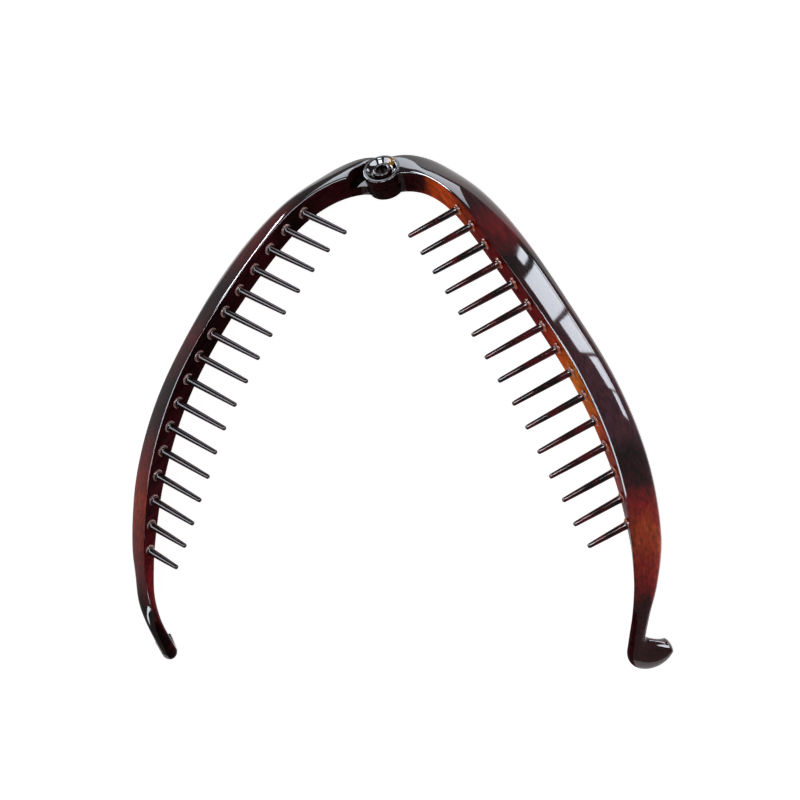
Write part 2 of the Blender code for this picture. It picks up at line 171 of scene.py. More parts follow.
# %% Directions along an arm
NECK_LAYER = 1.1
NECK_LAYER_FROM = 100.0
NECK_LAYER_TO = 118.0


def eased(value, start, end):
    """0 before start, 1 after end, and a smooth rise between them."""
    share = min(max((value - start) / (end - start), 0.0), 1.0)
    return share * share * (3 - 2 * share)


def frames_along(places, side):
    """Tangent, outward and front directions at each place."""
    frames = []
    for tangent in np.gradient(places, axis=0):
        tangent = tangent / np.linalg.norm(tangent)
        front = np.array([0.0, 0.0, 1.0]) - tangent * tangent[2]
        front /= np.linalg.norm(front)
        frames.append((tangent, np.cross(front, tangent) * side, front))
    return frames


def arm_stations(side):
    """Places, directions and section sizes along one arm."""
    rows = smooth_rows(ARM_SECTIONS)
    places = np.stack([rows[:, 0] * side, -rows[:, 1], -rows[:, 2]], axis=1)
    for place, directions, row in zip(places, frames_along(places, side), rows):
        place -= directions[2] * side * NECK_LAYER * eased(row[1], NECK_LAYER_FROM, NECK_LAYER_TO)
    return places, frames_along(places, side), rows[:, WIDTH_COLUMN:]


# %% [markdown]
# The section's outline runs from the back corner up the inner wall, over the crease, down the front face to the thin
# outer edge and home along the dished back. By the hinge the front is domed. Along the comb it leans outwards in a
# slightly bowed plane, which draws a window's reflection into a long blade, and its edge rolls down and carries the
# grey line of the table. Every point also has a turn, counted in sixteenths, so that the same outline can melt into
# an oval where the arm becomes a stem.

# %% The outline of one section
WALL_DRAFT = 0.13
FRONT_LEAN = 0.65
LEAN_FROM = 16.0
LEAN_TO = 46.0
EDGE_ROLL = 0.18
EDGE_ROLL_POWER = 12
CORNER = 0.35
CREASE_CORNER = 0.8
SIXTEENTHS = 16
FIRST_TURN = math.radians(-135.0)
CORNER_STEPS = 6
WALL_STEPS = 6
FRONT_STEPS = 24
BACK_STEPS = 10
FRONT_END = 0.95
FRONT_CROWDING = 0.7


def bend(start, corner, end, turn, turns, steps):
    """A rounded corner as a quadratic curve, without its last point. The turn rises by turns over it."""
    out = []
    for u in np.arange(steps) / steps:
        across = (1 - u) ** 2 * start[0] + 2 * u * (1 - u) * corner[0] + u * u * end[0]
        ahead = (1 - u) ** 2 * start[1] + 2 * u * (1 - u) * corner[1] + u * u * end[1]
        out.append((across, ahead, turn + turns * u))
    return out


def front_drop(share, lean):
    """The share of the fall reached at a share of the way from the crease to the outer edge."""
    return lean * share + (1 - EDGE_ROLL - lean) * share ** 2 + EDGE_ROLL * share ** EDGE_ROLL_POWER


def section_outline(width, depth, fall, edge, hollow, roundness, lean):
    """Points round one section, as (across, front) pairs, and the turn of each."""
    inner = -width / 2
    outer = width / 2
    front = depth / 2
    back = -depth / 2
    crease = inner + WALL_DRAFT * width
    rim = front - fall
    heel = rim - edge
    points = bend((inner + CORNER, back), (inner, back), (inner, back + CORNER), 0, 1, CORNER_STEPS)
    lip = min(CREASE_CORNER, depth / 4)
    first = lip / (outer - crease)
    face = (crease + lip, front - fall * front_drop(first, lean))
    points += bend((inner, back + CORNER), ((inner + crease) / 2, 0.0), (crease, front - lip), 1, 2, WALL_STEPS)
    points += bend((crease, front - lip), (crease, front), face, 3, 1, CORNER_STEPS)
    for u in np.arange(FRONT_STEPS) / FRONT_STEPS:
        share = first + (FRONT_END - first) * u ** FRONT_CROWDING
        points.append((crease + share * (outer - crease), front - fall * front_drop(share, lean), 4 + 4 * u))
    start = (crease + FRONT_END * (outer - crease), front - fall * front_drop(FRONT_END, lean))
    middle = (outer, rim - edge / 2)
    points += bend(start, (outer, rim), middle, 8, 1.5, CORNER_STEPS)
    points += bend(middle, (outer, heel), (outer - CORNER, heel), 9.5, 1.5, CORNER_STEPS)
    for u in np.arange(BACK_STEPS) / BACK_STEPS:
        across = outer - CORNER + u * (inner - outer + 2 * CORNER)
        level = heel + u * (back - heel) + hollow * math.sin(math.pi * u)
        points.append((across, level, 11 + 5 * u))
    outline = []
    for across, ahead, turn in points:
        angle = FIRST_TURN - 2 * math.pi * turn / SIXTEENTHS
        oval_across = outer * math.cos(angle)
        oval_ahead = front * math.sin(angle)
        outline.append((
            across + roundness * (oval_across - across),
            ahead + roundness * (oval_ahead - ahead),
        ))
    return outline, [turn for _, _, turn in points]


sample_outline, TURNS = section_outline(*ARM_SECTIONS[5][WIDTH_COLUMN:], FRONT_LEAN)
print("points round a section:", len(TURNS))

# %% [markdown]
# The hook is a small foot. Its sole is an arc and its top is a short ledge that catches the other arm's stem. The
# rings fan out from the stem between the ledge and the arc, and a few shrinking rings close the toe. The two hooks
# differ: the right one lies flat to the viewer and the left one points back.

# %% The hooks
Hook = namedtuple("Hook", "turn_deg lean_deg radius drop ledge rise")
RIGHT_HOOK = Hook(turn_deg=168.0, lean_deg=-52.0, radius=5.9, drop=4.4, ledge=5.6, rise=-2.2)
LEFT_HOOK = Hook(turn_deg=175.0, lean_deg=-85.0, radius=3.8, drop=0.8, ledge=4.0, rise=0.4)
HOOK_STEPS = 40
HOOK_DEPTH = 4.6
TIP_STEPS = 10
TIP_BULGE = 0.9
LEDGE_START = 0.15
LEDGE_DIP = 1.1


def hook_ring(place, inner, outer, normal, depth, lean):
    """One oval ring of the hook."""
    middle = place + (inner + outer) / 2
    across = (inner - outer) / 2
    points = []
    for turn in TURNS:
        angle = FIRST_TURN - 2 * math.pi * turn / SIXTEENTHS - lean
        points.append(middle + across * math.cos(angle) + normal * (depth / 2) * math.sin(angle))
    return points


def hook_rings(place, directions, size, hook):
    """All rings from the stem's end to the toe."""
    tangent, outward, front = directions
    lean = math.radians(hook.lean_deg)
    pull = outward * math.cos(lean) + front * math.sin(lean)
    normal = front * math.cos(lean) - outward * math.sin(lean)
    half = size / 2
    start = math.asin(hook.drop / hook.radius)
    rings = []
    for share in np.arange(1, HOOK_STEPS + 1) / HOOK_STEPS:
        turn = -start + (math.radians(hook.turn_deg) + start) * share
        beside = hook.radius * (1 - math.cos(max(turn, 0.0))) - half
        outer = pull * beside + tangent * (hook.drop + hook.radius * math.sin(turn))
        reach = hook.ledge * (LEDGE_START * 2 * share * (1 - share) + share ** 2)
        sink = LEDGE_DIP * 2 * share * (1 - share) - hook.rise * share ** 2
        inner = pull * (half + reach) + tangent * sink
        rings.append(hook_ring(place, inner, outer, normal, size + (HOOK_DEPTH - size) * share, lean))
    heading = np.cross(normal, inner - outer)
    heading *= math.copysign(1.0, heading @ (pull - tangent)) / np.linalg.norm(heading)
    middle = (inner + outer) / 2
    for i in range(1, TIP_STEPS + 1):
        angle = math.pi / 2 * i / (TIP_STEPS + 0.4)
        shift = heading * TIP_BULGE * math.sin(angle)
        near = middle + (inner - middle) * math.cos(angle) + shift
        far = middle + (outer - middle) * math.cos(angle) + shift
        rings.append(hook_ring(place, near, far, normal, HOOK_DEPTH * math.cos(angle), lean))
    return rings


print("sole radius of the right and left hook, mm:", RIGHT_HOOK.radius, LEFT_HOOK.radius)

# %% [markdown]
# A loft joins rings of equal length with four-sided faces and closes both ends. The same helper makes the arm's body
# and each tooth, and a second one turns a profile about the hinge axis for the round pieces.

# %% Lofts and turned shapes
RIM_STEPS = 4


def loft(rings, name):
    """A closed solid through rings of equal length. The rings are in millimetres and the mesh in metres."""
    mesh = bpy.data.meshes.new(name)
    work = bmesh.new()
    loops = [[work.verts.new(Vector(point) * MM) for point in points] for points in rings]
    for before, after in zip(loops, loops[1:]):
        for i in range(len(before)):
            j = (i + 1) % len(before)
            work.faces.new((before[i], before[j], after[j], after[i]))
    work.faces.new(loops[0])
    work.faces.new(loops[-1])
    bmesh.ops.recalc_face_normals(work, faces=work.faces)
    work.to_mesh(mesh)
    work.free()
    return mesh


def turned(profile, sides, name):
    """A solid turned about Z from (radius, height) pairs. The first and last pair lie on the axis."""
    work = bmesh.new()
    top = work.verts.new((0.0, 0.0, profile[0][1] * MM))
    bottom = work.verts.new((0.0, 0.0, profile[-1][1] * MM))
    loops = []
    for radius, height in profile[1:-1]:
        angles = [2 * math.pi * i / sides for i in range(sides)]
        ring = [Vector((radius * math.cos(a), radius * math.sin(a), height)) * MM for a in angles]
        loops.append([work.verts.new(point) for point in ring])
    for i in range(sides):
        j = (i + 1) % sides
        work.faces.new((top, loops[0][i], loops[0][j]))
        work.faces.new((bottom, loops[-1][j], loops[-1][i]))
        for before, after in zip(loops, loops[1:]):
            work.faces.new((before[j], before[i], after[i], after[j]))
    bmesh.ops.recalc_face_normals(work, faces=work.faces)
    mesh = bpy.data.meshes.new(name)
    work.to_mesh(mesh)
    work.free()
    return mesh


def rounded_rim(radius, level, size, rising):
    """Points of a rounded rim in a turned profile. rising is 1 on a top rim and -1 on a bottom rim."""
    out = []
    for i in range(RIM_STEPS + 1):
        angle = math.pi / 2 * i / RIM_STEPS
        out.append((radius - size * (1 - math.sin(angle)), level - rising * size * (1 - math.cos(angle))))
    return out if rising > 0 else out[::-1]


disc = turned([(0.0, 0.0), (1.0, 0.0), (1.0, -1.0), (0.0, -1.0)], 6, "disc")
print("a turned disc with six sides has", len(disc.polygons), "faces")
bpy.data.meshes.remove(disc)

# %% [markdown]
# The hinge is a half lap. The right arm keeps the front half and the left arm the back half, each ends in a round
# knuckle, and the pin passes through both. The front knuckle has a funnel round the pin, like a countersink. Every
# rim has a small radius, because a sharp plastic edge would show no line of light and the real ones all do.

# %% The halves of the hinge
KNUCKLE_RADIUS = 4.9
FRONT_KNUCKLE_BACK = -2.9
REAR_KNUCKLE_FRONT = -3.2
REAR_KNUCKLE_BACK = -6.8
OVERLAP = 1.0
LAP_RADIUS = 5.65
LAP_REACH = 12.0
PIN_HOLE_RADIUS = 2.0
FUNNEL_MOUTH_RADIUS = 3.9
FUNNEL_MOUTH_ROWS = ((0.45, 1.0), (0.28, 0.02), (0.10, -0.06), (-0.05, -0.20))
FUNNEL_FLOOR_RADIUS = 2.75
FUNNEL_FLOOR_ROWS = ((0.20, 0.12), (-0.05, 0.0))
FUNNEL_DEPTH = 1.1
BACK_POCKET_RADIUS = 3.45
BACK_POCKET_DEPTH = 1.1
RIM = 0.3
HINGE_SIDES = 96


def front_half():
    """The right arm's knuckle, and the shapes that are cut from it."""
    knuckle = [(0.0, 0.0)] + rounded_rim(KNUCKLE_RADIUS, 0.0, RIM, 1)
    knuckle += [(KNUCKLE_RADIUS, FRONT_KNUCKLE_BACK - OVERLAP), (0.0, FRONT_KNUCKLE_BACK - OVERLAP)]
    clearance = [(0.0, FRONT_KNUCKLE_BACK), (LAP_RADIUS, FRONT_KNUCKLE_BACK)]
    clearance += [(LAP_RADIUS, -LAP_REACH), (0.0, -LAP_REACH)]
    hole = [(0.0, FUNNEL_MOUTH_ROWS[0][1])]
    hole += [(FUNNEL_MOUTH_RADIUS + wider, level) for wider, level in FUNNEL_MOUTH_ROWS]
    hole += [(FUNNEL_FLOOR_RADIUS + wider, level - FUNNEL_DEPTH) for wider, level in FUNNEL_FLOOR_ROWS]
    hole += [(PIN_HOLE_RADIUS, -FUNNEL_DEPTH), (PIN_HOLE_RADIUS, -LAP_REACH), (0.0, -LAP_REACH)]
    return turned(knuckle, HINGE_SIDES, "knuckle"), [turned(cut, HINGE_SIDES, "cut") for cut in (clearance, hole)]


def rear_half():
    """The left arm's knuckle, and the shapes that are cut from it."""
    knuckle = [(0.0, REAR_KNUCKLE_FRONT + OVERLAP), (KNUCKLE_RADIUS, REAR_KNUCKLE_FRONT + OVERLAP)]
    knuckle += rounded_rim(KNUCKLE_RADIUS, REAR_KNUCKLE_BACK, RIM, -1) + [(0.0, REAR_KNUCKLE_BACK)]
    clearance = [(0.0, LAP_REACH), (LAP_RADIUS, LAP_REACH)]
    clearance += [(LAP_RADIUS, REAR_KNUCKLE_FRONT), (0.0, REAR_KNUCKLE_FRONT)]
    floor = REAR_KNUCKLE_BACK + BACK_POCKET_DEPTH
    hole = [(0.0, LAP_REACH), (PIN_HOLE_RADIUS, LAP_REACH), (PIN_HOLE_RADIUS, floor)]
    hole += [(BACK_POCKET_RADIUS, floor), (BACK_POCKET_RADIUS, -LAP_REACH), (0.0, -LAP_REACH)]
    return turned(knuckle, HINGE_SIDES, "knuckle"), [turned(cut, HINGE_SIDES, "cut") for cut in (clearance, hole)]


print("gap between the knuckles, mm:", round(FRONT_KNUCKLE_BACK - REAR_KNUCKLE_FRONT, 2))

# %% [markdown]
# The left arm has a round bay beside the lap, and the bay's rounded mouth is the bright crescent next to the hinge.
# A straight round cut would leave a sharp edge. A bevel after the cut is possible, but it often fails where many
# small faces meet. So the cutting shape itself widens towards its mouth. Rays from the front find how high the arm's
# face is at each point, and the mouth follows it.

# %% The bay beside the hinge
BAY_CENTRE = (-1.4, -3.9)
BAY_RADIUS = 5.5
BAY_FLOOR = -3.25
BAY_FLOOR_GAP = 0.1
BAY_MOUTH = ((0.0, 0.32), (0.03, 0.20), (0.10, 0.09), (0.22, 0.02), (0.36, -0.06))


def bay_cut(body):
    """The bay as a shape to cut, with a rounded mouth that follows the front of the body."""
    skin = BVHTree.FromPolygons([v.co for v in body.vertices], [list(p.vertices) for p in body.polygons])
    angles = [2 * math.pi * i / HINGE_SIDES for i in range(HINGE_SIDES)]

    def ring(radius, below):
        points = []
        for angle in angles:
            across = BAY_CENTRE[0] + radius * math.cos(angle)
            ahead = BAY_CENTRE[1] + radius * math.sin(angle)
            hit = skin.ray_cast(Vector((across, ahead, LAP_REACH)) * MM, Vector((0.0, 0.0, -1.0)))[0]
            level = hit.z / MM if hit else 0.0
            lowest = BAY_FLOOR + BAY_FLOOR_GAP * (1 - below)
            points.append((across, ahead, max(level - below, lowest)))
        return points

    rings = [[(x, y, BAY_FLOOR) for x, y, _ in ring(BAY_RADIUS, 0.0)]]
    rings += [ring(BAY_RADIUS + wider, below) for wider, below in BAY_MOUTH]
    rings.append([(x, y, LAP_REACH) for x, y, _ in rings[-1]])
    return loft(rings, "bay")


print("bay depth, mm:", -BAY_FLOOR)

# %% [markdown]
# A tooth tapers to a small round tip and stands on a low boss, whose rounded rim is the bright crescent at each root.
# The rim's own finish is a pale painted highlight. A cone with a sphere at its end would do for the taper. The rows
# below are one loft instead, so boss, taper and tip are one closed shape. A row holds a share of the tooth's length,
# a shift in millimetres and a radius.

# %% One tooth
TOOTH_PROFILE = (
    (0.0, -1.5, 1.00),
    (0.0, -0.3, 1.62),
    (0.0, 0.02, 1.60),
    (0.0, 0.14, 1.52),
    (0.0, 0.22, 1.38),
    (0.0, 0.28, 1.20),
    (0.0, 0.42, 1.06),
    (0.0, 0.70, 1.01),
    (0.0, 1.20, 0.97),
    (0.5, 0.0, 0.84),
    (1.0, -0.70, 0.64),
    (1.0, -0.35, 0.60),
    (1.0, -0.18, 0.51),
    (1.0, -0.06, 0.35),
    (1.0, -0.01, 0.15),
)
TOOTH_SIDES = 20


def tooth(root, heading, length):
    """One tapered tooth."""
    cross = np.cross(heading, np.array([0.0, 1.0, 0.0]))
    cross /= np.linalg.norm(cross)
    upright = np.cross(cross, heading)
    rings = []
    for share, offset, radius in TOOTH_PROFILE:
        middle = root + heading * (share * length + offset)
        angles = [2 * math.pi * i / TOOTH_SIDES for i in range(TOOTH_SIDES)]
        rings.append([middle + (cross * math.cos(a) + upright * math.sin(a)) * radius for a in angles])
    return loft(rings, "tooth")


print("rings in a tooth:", len(TOOTH_PROFILE))

# %% [markdown]
# The teeth of a comb stand a pitch apart along the inner wall, all parallel, because the mould has to open along
# them. They could be copies of one tooth, but their length changes along the arm, so each is lofted. The right comb
# is offset by half a pitch so that the closed combs mesh.

# %% Where the teeth stand
LEFT_TEETH = 16
RIGHT_TEETH = 15
FIRST_TOOTH_ALONG = 20.6
STRAIGHT_WALL_FROM = 5.0
TOOTH_PITCH = 6.62
TOOTH_DROOP = math.radians(3.7)
TOOTH_LENGTHS = ((0.0, 14.2), (0.25, 15.3), (0.5, 16.6), (0.75, 16.0), (0.9, 13.5), (1.0, 9.9))


def comb_roots(side, count):
    """Where each tooth leaves the inner wall."""
    places, frames, sizes = arm_stations(side)
    inner = np.array([-size[0] / 2 * (1 - WALL_DRAFT) for size in sizes])
    wall = places + np.array([directions[1] for directions in frames]) * inner[:, None]
    run = np.concatenate([[0.0], np.cumsum(np.linalg.norm(np.diff(wall, axis=0), axis=1))])
    past_bend = wall[:, 1] < -STRAIGHT_WALL_FROM
    first = np.interp(FIRST_TOOTH_ALONG, -wall[past_bend, 1], run[past_bend])
    if side == RIGHT:
        first += TOOTH_PITCH / 2
    stops = first + TOOTH_PITCH * np.arange(count)
    return [np.array([np.interp(stop, run, wall[:, axis]) for axis in range(3)]) for stop in stops]


print("first left root, mm:", [round(float(v), 1) for v in comb_roots(LEFT, LEFT_TEETH)[0]])

# %% [markdown]
# An arm carries four finishes, one for each kind of surface, and every face keeps the number of its own. So the teeth
# and bosses get their numbers here, and these numbers are still there after the teeth are joined to the arm.

# %% The combs
BODY_FINISH = 0
TOOTH_FINISH = 1
WALL_FINISH = 2
BOSS_PAINTED_HIGHLIGHT_FINISH = 3
BOSS_STEPS = 5
BOSS_RIM_STEPS = (1, 4)


def comb(side, count):
    """All the teeth of one arm in one mesh."""
    heading = np.array([-side * math.cos(TOOTH_DROOP), 0.0, -math.sin(TOOTH_DROOP)])
    half_step = 0.5 if side == RIGHT else 0.0
    work = bmesh.new()
    for i, root in enumerate(comb_roots(side, count)):
        share = (i + half_step) / (LEFT_TEETH - 1)
        length = float(np.interp(share, [row[0] for row in TOOTH_LENGTHS], [row[1] for row in TOOTH_LENGTHS]))
        one = tooth(root, heading, length)
        for face in one.polygons[BOSS_STEPS * TOOTH_SIDES:]:
            face.material_index = TOOTH_FINISH
        # The boss rim gets a pale finish, a painted highlight.
        for face in one.polygons[BOSS_RIM_STEPS[0] * TOOTH_SIDES:BOSS_RIM_STEPS[1] * TOOTH_SIDES]:
            face.material_index = BOSS_PAINTED_HIGHLIGHT_FINISH
        work.from_mesh(one)
        bpy.data.meshes.remove(one)
    mesh = bpy.data.meshes.new("comb")
    work.to_mesh(mesh)
    work.free()
    return mesh


print("finishes on an arm:", BOSS_PAINTED_HIGHLIGHT_FINISH + 1)

# %% [markdown]
# The plastic is tortoiseshell: dark brown and clear amber pellets are only half mixed before moulding, so the colour
# drifts along an arm from near black through deep red to glowing orange. Painting it by hand on a texture would be
# quick, but a texture needs an unwrapped mesh. Here the place along the arm drives a colour ramp, in the arm's own
# coordinates, so the colour stays with the arm when it swings. Noise moves the place a little, which breaks the
# bands up into clouds.

# %% Helpers for the finishes
def add_node(tree, kind, **settings):
    """A node with some of its settings and input values filled in."""
    node = tree.nodes.new("ShaderNode" + kind)
    for name, value in settings.items():
        if name in node.inputs:
            node.inputs[name].default_value = value
        else:
            setattr(node, name, value)
    return node


def math_node(tree, operation, first, second=None, third=None):
    """A math node fed by sockets or numbers. Returns its output."""
    node = add_node(tree, "Math", operation=operation)
    for slot, value in enumerate((first, second, third)):
        if value is None:
            continue
        if isinstance(value, (int, float)):
            node.inputs[slot].default_value = value
        else:
            tree.links.new(value, node.inputs[slot])
    return node.outputs[0]


def map_range(tree, value, start, end=(0.0, 1.0), **settings):
    """A value carried from one range to another."""
    node = add_node(tree, "MapRange", **settings)
    node.inputs["From Min"].default_value = start[0]
    node.inputs["From Max"].default_value = start[1]
    node.inputs["To Min"].default_value = end[0]
    node.inputs["To Max"].default_value = end[1]
    tree.links.new(value, node.inputs["Value"])
    return node.outputs[0]


def noise(tree, place, **settings):
    """Noise over the given coordinates."""
    node = add_node(tree, "TexNoise", **settings)
    tree.links.new(place, node.inputs["Vector"])
    return node.outputs[0]


def stretched(tree, place, scale):
    """The same coordinates scaled. A small number makes a pattern long in that direction."""
    node = add_node(tree, "Mapping")
    node.inputs["Scale"].default_value = scale
    tree.links.new(place, node.inputs["Vector"])
    return node.outputs[0]


def mix_colours(tree, factor, first, second):
    """A mix of two colours. Each is a socket or three numbers."""
    node = add_node(tree, "Mix", data_type="RGBA")
    tree.links.new(factor, node.inputs["Factor"])
    for slot, colour in ((6, first), (7, second)):
        if isinstance(colour, tuple):
            node.inputs[slot].default_value = (*colour, 1.0)
        else:
            tree.links.new(colour, node.inputs[slot])
    return node.outputs[2]


def new_finish(name):
    """A new material with its node tree and its shader."""
    material = bpy.data.materials.new(name)
    material.use_nodes = True
    return material, material.node_tree, material.node_tree.nodes["Principled BSDF"]


print("materials before the first finish:", len(bpy.data.materials))

# %% [markdown]
# Two ramps are mixed: one for the polished face, which is thick and dark, and one for the inner wall, which is
# painted light: on the right arm a painted glow of light let through the thinner plastic, on the left arm painted
# shade darker than the face. Which one shows follows from the surface's own direction. A row holds a place in
# millimetres down the arm and a colour. The numbers are linear colours, so they look darker here than on screen.

# %% The colours along each arm
BLACK_BROWN = (0.010, 0.004, 0.004)
MAROON = (0.040, 0.006, 0.008)
DEEP_RED = (0.150, 0.006, 0.009)
BLOOD_RED = (0.240, 0.012, 0.009)
BRICK = (0.370, 0.050, 0.010)
RED_ORANGE = (0.420, 0.045, 0.010)
EMBER = (0.620, 0.075, 0.012)
AMBER = (0.820, 0.200, 0.020)
# The colour of the painted golden glint by the pin.
PAINTED_GLINT_GOLD = (0.850, 0.450, 0.100)
PLUM = (0.060, 0.018, 0.026)
ARM_LENGTH = 126.0

RIGHT_FACE = (
    (0.0, BLACK_BROWN),
    (26.0, MAROON),
    (36.0, DEEP_RED),
    (45.0, BLACK_BROWN),
    (58.0, MAROON),
    (74.0, PLUM),
    (89.0, PLUM),
    (94.0, BLACK_BROWN),
    (98.0, MAROON),
    (103.0, BLOOD_RED),
    (108.0, BRICK),
    (114.0, BLOOD_RED),
    (118.0, MAROON),
)
# Painted light: the glow of light let through the right arm's inner wall.
RIGHT_WALL_PAINTED_GLOW = (
    (0.0, BLACK_BROWN),
    (9.0, MAROON),
    (13.0, EMBER),
    (20.0, EMBER),
    (27.0, RED_ORANGE),
    (33.0, BLOOD_RED),
    (42.0, DEEP_RED),
    (56.0, DEEP_RED),
    (62.0, BLOOD_RED),
    (68.0, EMBER),
    (76.0, AMBER),
    (88.0, RED_ORANGE),
    (100.0, DEEP_RED),
    (112.0, MAROON),
)
LEFT_FACE = (
    (0.0, BLACK_BROWN),
    (18.0, BLACK_BROWN),
    (28.0, DEEP_RED),
    (38.0, DEEP_RED),
    (48.0, BLACK_BROWN),
    (56.0, MAROON),
    (63.0, DEEP_RED),
    (72.0, BLACK_BROWN),
    (84.0, MAROON),
    (92.0, BLOOD_RED),
    (100.0, RED_ORANGE),
    (107.0, BLOOD_RED),
    (113.0, DEEP_RED),
    (118.0, BLACK_BROWN),
)
# Painted shade: the left arm's inner wall, darker than its face.
LEFT_WALL_PAINTED_SHADE = (
    (0.0, BLACK_BROWN),
    (10.0, MAROON),
    (24.0, BLACK_BROWN),
    (34.0, MAROON),
    (60.0, BLACK_BROWN),
    (84.0, MAROON),
    (100.0, MAROON),
    (112.0, DEEP_RED),
    (120.0, BLACK_BROWN),
)
print("colour stops:", [len(stops) for stops in (LEFT_FACE, LEFT_WALL_PAINTED_SHADE, RIGHT_FACE, RIGHT_WALL_PAINTED_GLOW)])

# %% [markdown]
# The arms' meshes are settled at the origin, so a mapping node turns their coordinates back into the arm's own, where
# Y runs down the arm. That number, moved a little by noise, goes through both ramps. The direction of the surface
# mixes them, which puts the wall's painted light on the inner wall only. A small ball of gold colour round one corner
# of the right arm by the pin is a painted golden glint.

# %% Colour by place
CLOUD_STRETCH = (1.0, 0.45, 0.8)
CLOUD_DRIFT = 0.09
STREAK_STRETCH = (9.0, 0.7, 6.0)
PAINTED_WALL_FACING = (0.30, 0.80)
# How far the painted golden glint reaches, in metres.
PAINTED_GLINT_REACH = (0.0017, 0.0006)


def colour_ramp(tree, factor, stops, length):
    """A ramp through (place in mm, colour) rows, over a length in mm."""
    node = add_node(tree, "ValToRGB")
    elements = node.color_ramp.elements
    while len(elements) > 1:
        elements.remove(elements[-1])
    elements[0].position = stops[0][0] / length
    elements[0].color = (*stops[0][1], 1.0)
    for place, colour in stops[1:]:
        element = elements.new(place / length)
        element.color = (*colour, 1.0)
    tree.links.new(factor, node.inputs[0])
    return node.outputs["Color"]


def arm_coordinates(tree, side):
    """Coordinates in the arm's own frame, and the direction of the surface."""
    here = add_node(tree, "TexCoord")
    place = add_node(tree, "Mapping", vector_type="TEXTURE")
    place.inputs["Location"].default_value = arm_place(side).translation
    place.inputs["Rotation"].default_value = arm_place(side).to_euler()
    tree.links.new(here.outputs["Object"], place.inputs["Vector"])
    return place.outputs[0], here.outputs["Normal"]


def ramps_along(tree, side, place, normal, face, wall):
    """The face's ramp and the wall's painted light ramp, mixed by how far the surface looks at the other arm."""
    clouds = noise(
        tree, stretched(tree, place, CLOUD_STRETCH), Scale=170.0, Detail=4.0, Roughness=0.55, Distortion=0.6
    )
    drift = math_node(tree, "MULTIPLY_ADD", clouds, CLOUD_DRIFT, -CLOUD_DRIFT / 2)
    split = add_node(tree, "SeparateXYZ")
    tree.links.new(place, split.inputs[0])
    along = math_node(tree, "MULTIPLY_ADD", split.outputs["Y"], -1 / MM / ARM_LENGTH, drift)
    facing = add_node(tree, "VectorMath", operation="DOT_PRODUCT")
    facing.inputs[1].default_value = arm_place(side).to_3x3() @ Vector((-side, 0.0, 0.0))
    tree.links.new(normal, facing.inputs[0])
    # The share of the wall's painted light, by how far the surface faces the other arm.
    painted_wall_share = map_range(tree, facing.outputs["Value"], PAINTED_WALL_FACING, interpolation_type="SMOOTHSTEP")
    face_colour = colour_ramp(tree, along, face, ARM_LENGTH)
    painted_wall_colour = colour_ramp(tree, along, wall, ARM_LENGTH)
    return mix_colours(tree, painted_wall_share, face_colour, painted_wall_colour)


def with_painted_glint(tree, place, colour, painted_glint_place):
    """The colour, with a painted golden glint round one place."""
    reach = add_node(tree, "VectorMath", operation="DISTANCE")
    reach.inputs[1].default_value = painted_glint_place
    tree.links.new(place, reach.inputs[0])
    near = map_range(tree, reach.outputs["Value"], PAINTED_GLINT_REACH, interpolation_type="SMOOTHSTEP")
    return mix_colours(tree, near, colour, PAINTED_GLINT_GOLD)


def with_streaks(tree, place, colour):
    """The colour, with lighter and darker streaks along the arm."""
    grain = noise(
        tree, stretched(tree, place, STREAK_STRETCH), Scale=140.0, Detail=5.0, Roughness=0.6, Distortion=0.2
    )
    level = map_range(tree, grain, (0.35, 0.70), (0.55, 1.50))
    lit = add_node(tree, "VectorMath", operation="SCALE")
    tree.links.new(colour, lit.inputs[0])
    tree.links.new(level, lit.inputs["Scale"])
    return lit.outputs[0]


print("clouds move a colour by up to", round(CLOUD_DRIFT / 2 * ARM_LENGTH, 1), "mm")

# %% [markdown]
# The polish is a mirror-smooth mould surface, so the roughness is low and only varies a little, where fingers have
# dulled it. A weak bump, stretched along the arm, makes the faint waves of plastic that cooled in a mould. Some of
# the light enters the plastic and comes out nearby, which subsurface scattering gives, red furthest. The inner wall
# is seen at a flat angle, where gloss would lay white over its painted glow, so it gets the same finish with almost
# no shine.

# %% The finishes
PLASTIC_IOR = 1.52
FACE_SHINE = 0.5
TOOTH_SHINE = 0.3
WALL_SHINE = 0.005
# Where the painted golden glint sits on the right arm. AWAY puts the left arm's glint out of reach.
PAINTED_GLINT_PLACE = (0.0032, 0.0012, -0.0006)
AWAY = (0.0, 1.0, 0.0)
# Painted highlight colours for the boss rims: pale on the left arm, orange on the right.
LEFT_BOSS_PAINTED_HIGHLIGHT = ((0.46, 0.30, 0.27), (0.34, 0.18, 0.15))
RIGHT_BOSS_PAINTED_HIGHLIGHT = ((0.80, 0.24, 0.10), (0.55, 0.09, 0.03))


def add_polish(tree, shader, place):
    """A nearly smooth surface over faint waves."""
    rough = map_range(tree, noise(tree, place, Scale=420.0, Detail=3.0), (0.0, 1.0), (0.03, 0.075))
    tree.links.new(rough, shader.inputs["Roughness"])
    waves = noise(tree, stretched(tree, place, CLOUD_STRETCH), Scale=110.0, Detail=1.0)
    bump = add_node(tree, "Bump", Strength=0.10, Distance=0.0006)
    tree.links.new(waves, bump.inputs["Height"])
    tree.links.new(bump.outputs[0], shader.inputs["Normal"])


